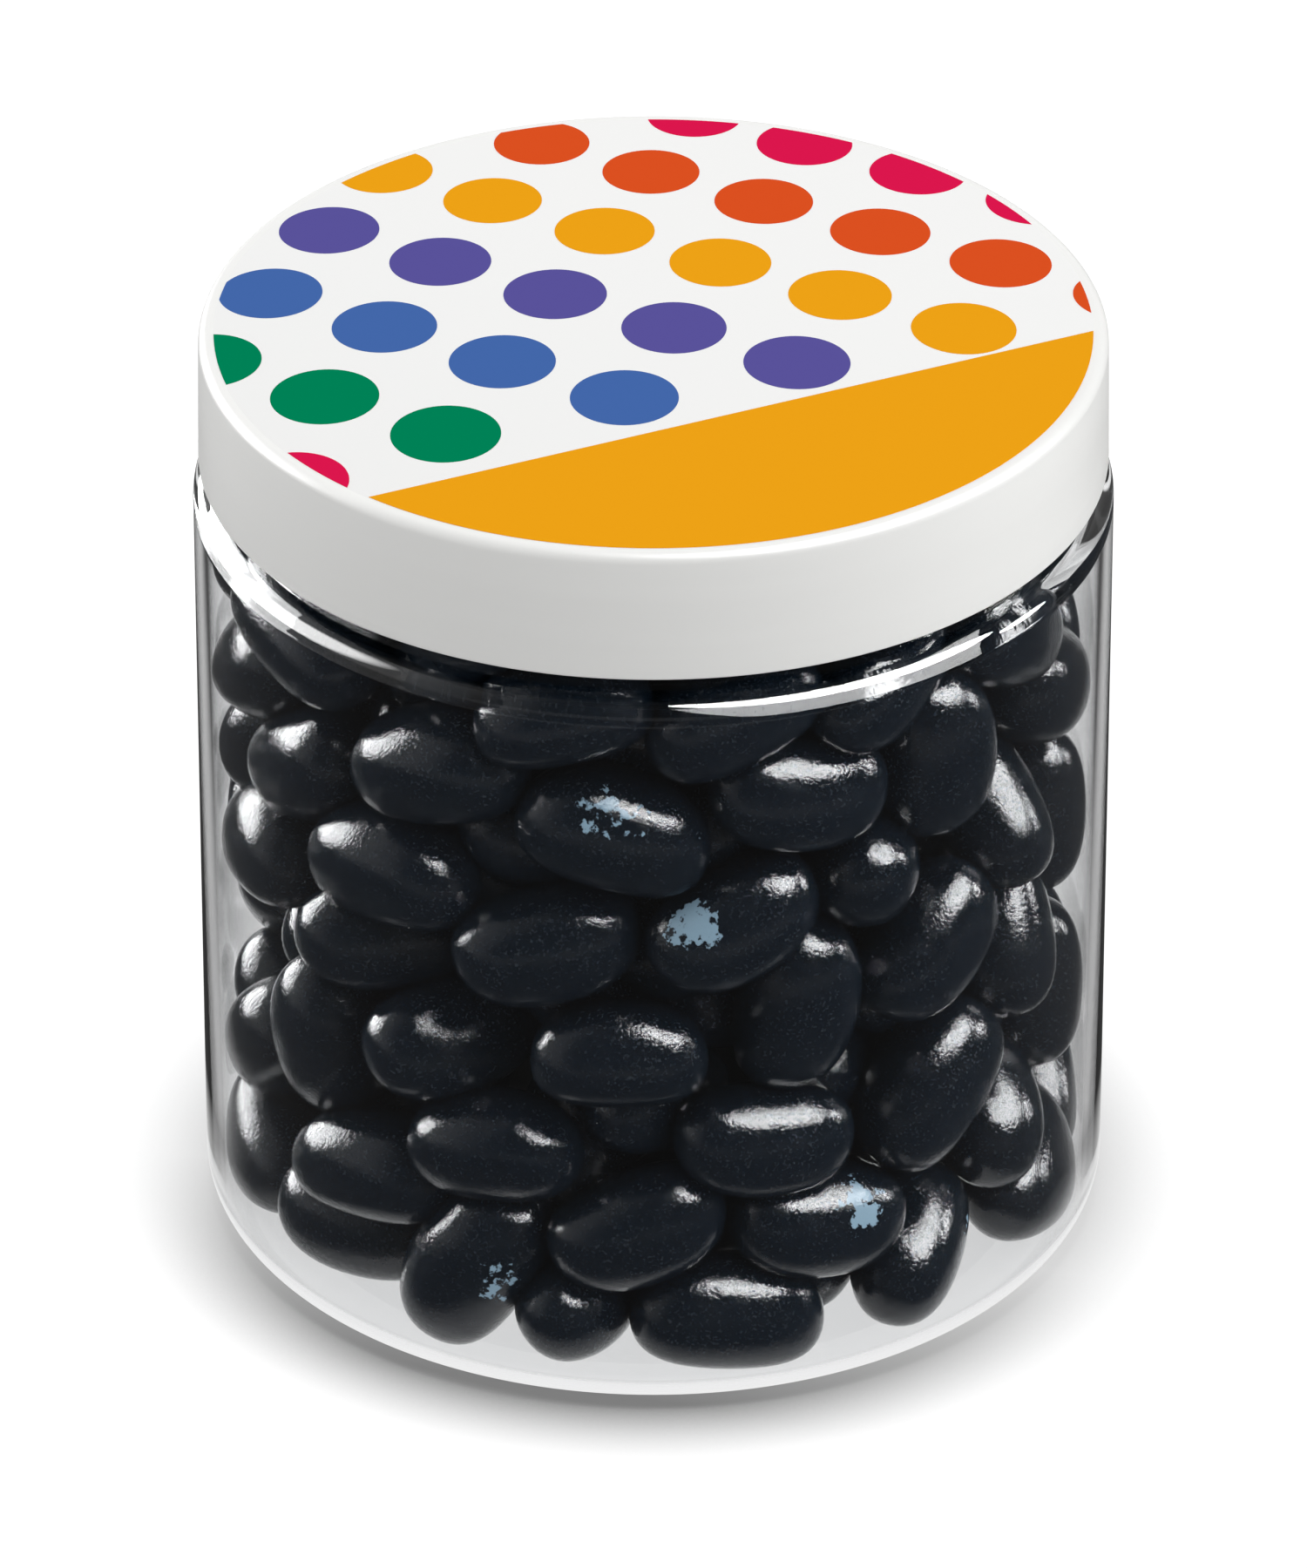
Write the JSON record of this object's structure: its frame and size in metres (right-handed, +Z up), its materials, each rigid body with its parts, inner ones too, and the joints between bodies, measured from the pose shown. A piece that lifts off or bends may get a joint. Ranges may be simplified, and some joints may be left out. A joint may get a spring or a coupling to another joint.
{
  "type": "jar of jelly beans",
  "caption": "Shut round clear jar filled with glossy black jelly beans, with a white screw lid that carries a round label of coloured dots.",
  "frame": {"origin": "middle of the ring the jar stands on, at the level of the surface under it", "axes": "+Z up along the axis of the jar and the lid, -Y towards the front, where the orange segment of the label lies, +X to the right seen from the front"},
  "size_m": [0.087, 0.087, 0.0931],
  "materials": {
    "clear_plastic": "clear, smooth and glossy moulded plastic",
    "lid_plastic": "satin white moulded plastic",
    "label_print": "white printed film with coloured dots and one orange segment",
    "bean_shell": "polished black sugar shell"
  },
  "bodies": {
    "root": {"jar": "clear_plastic", "lid": "lid_plastic", "lid_label": "label_print", "jelly_beans": "bean_shell"}
  },
  "joints": []
}
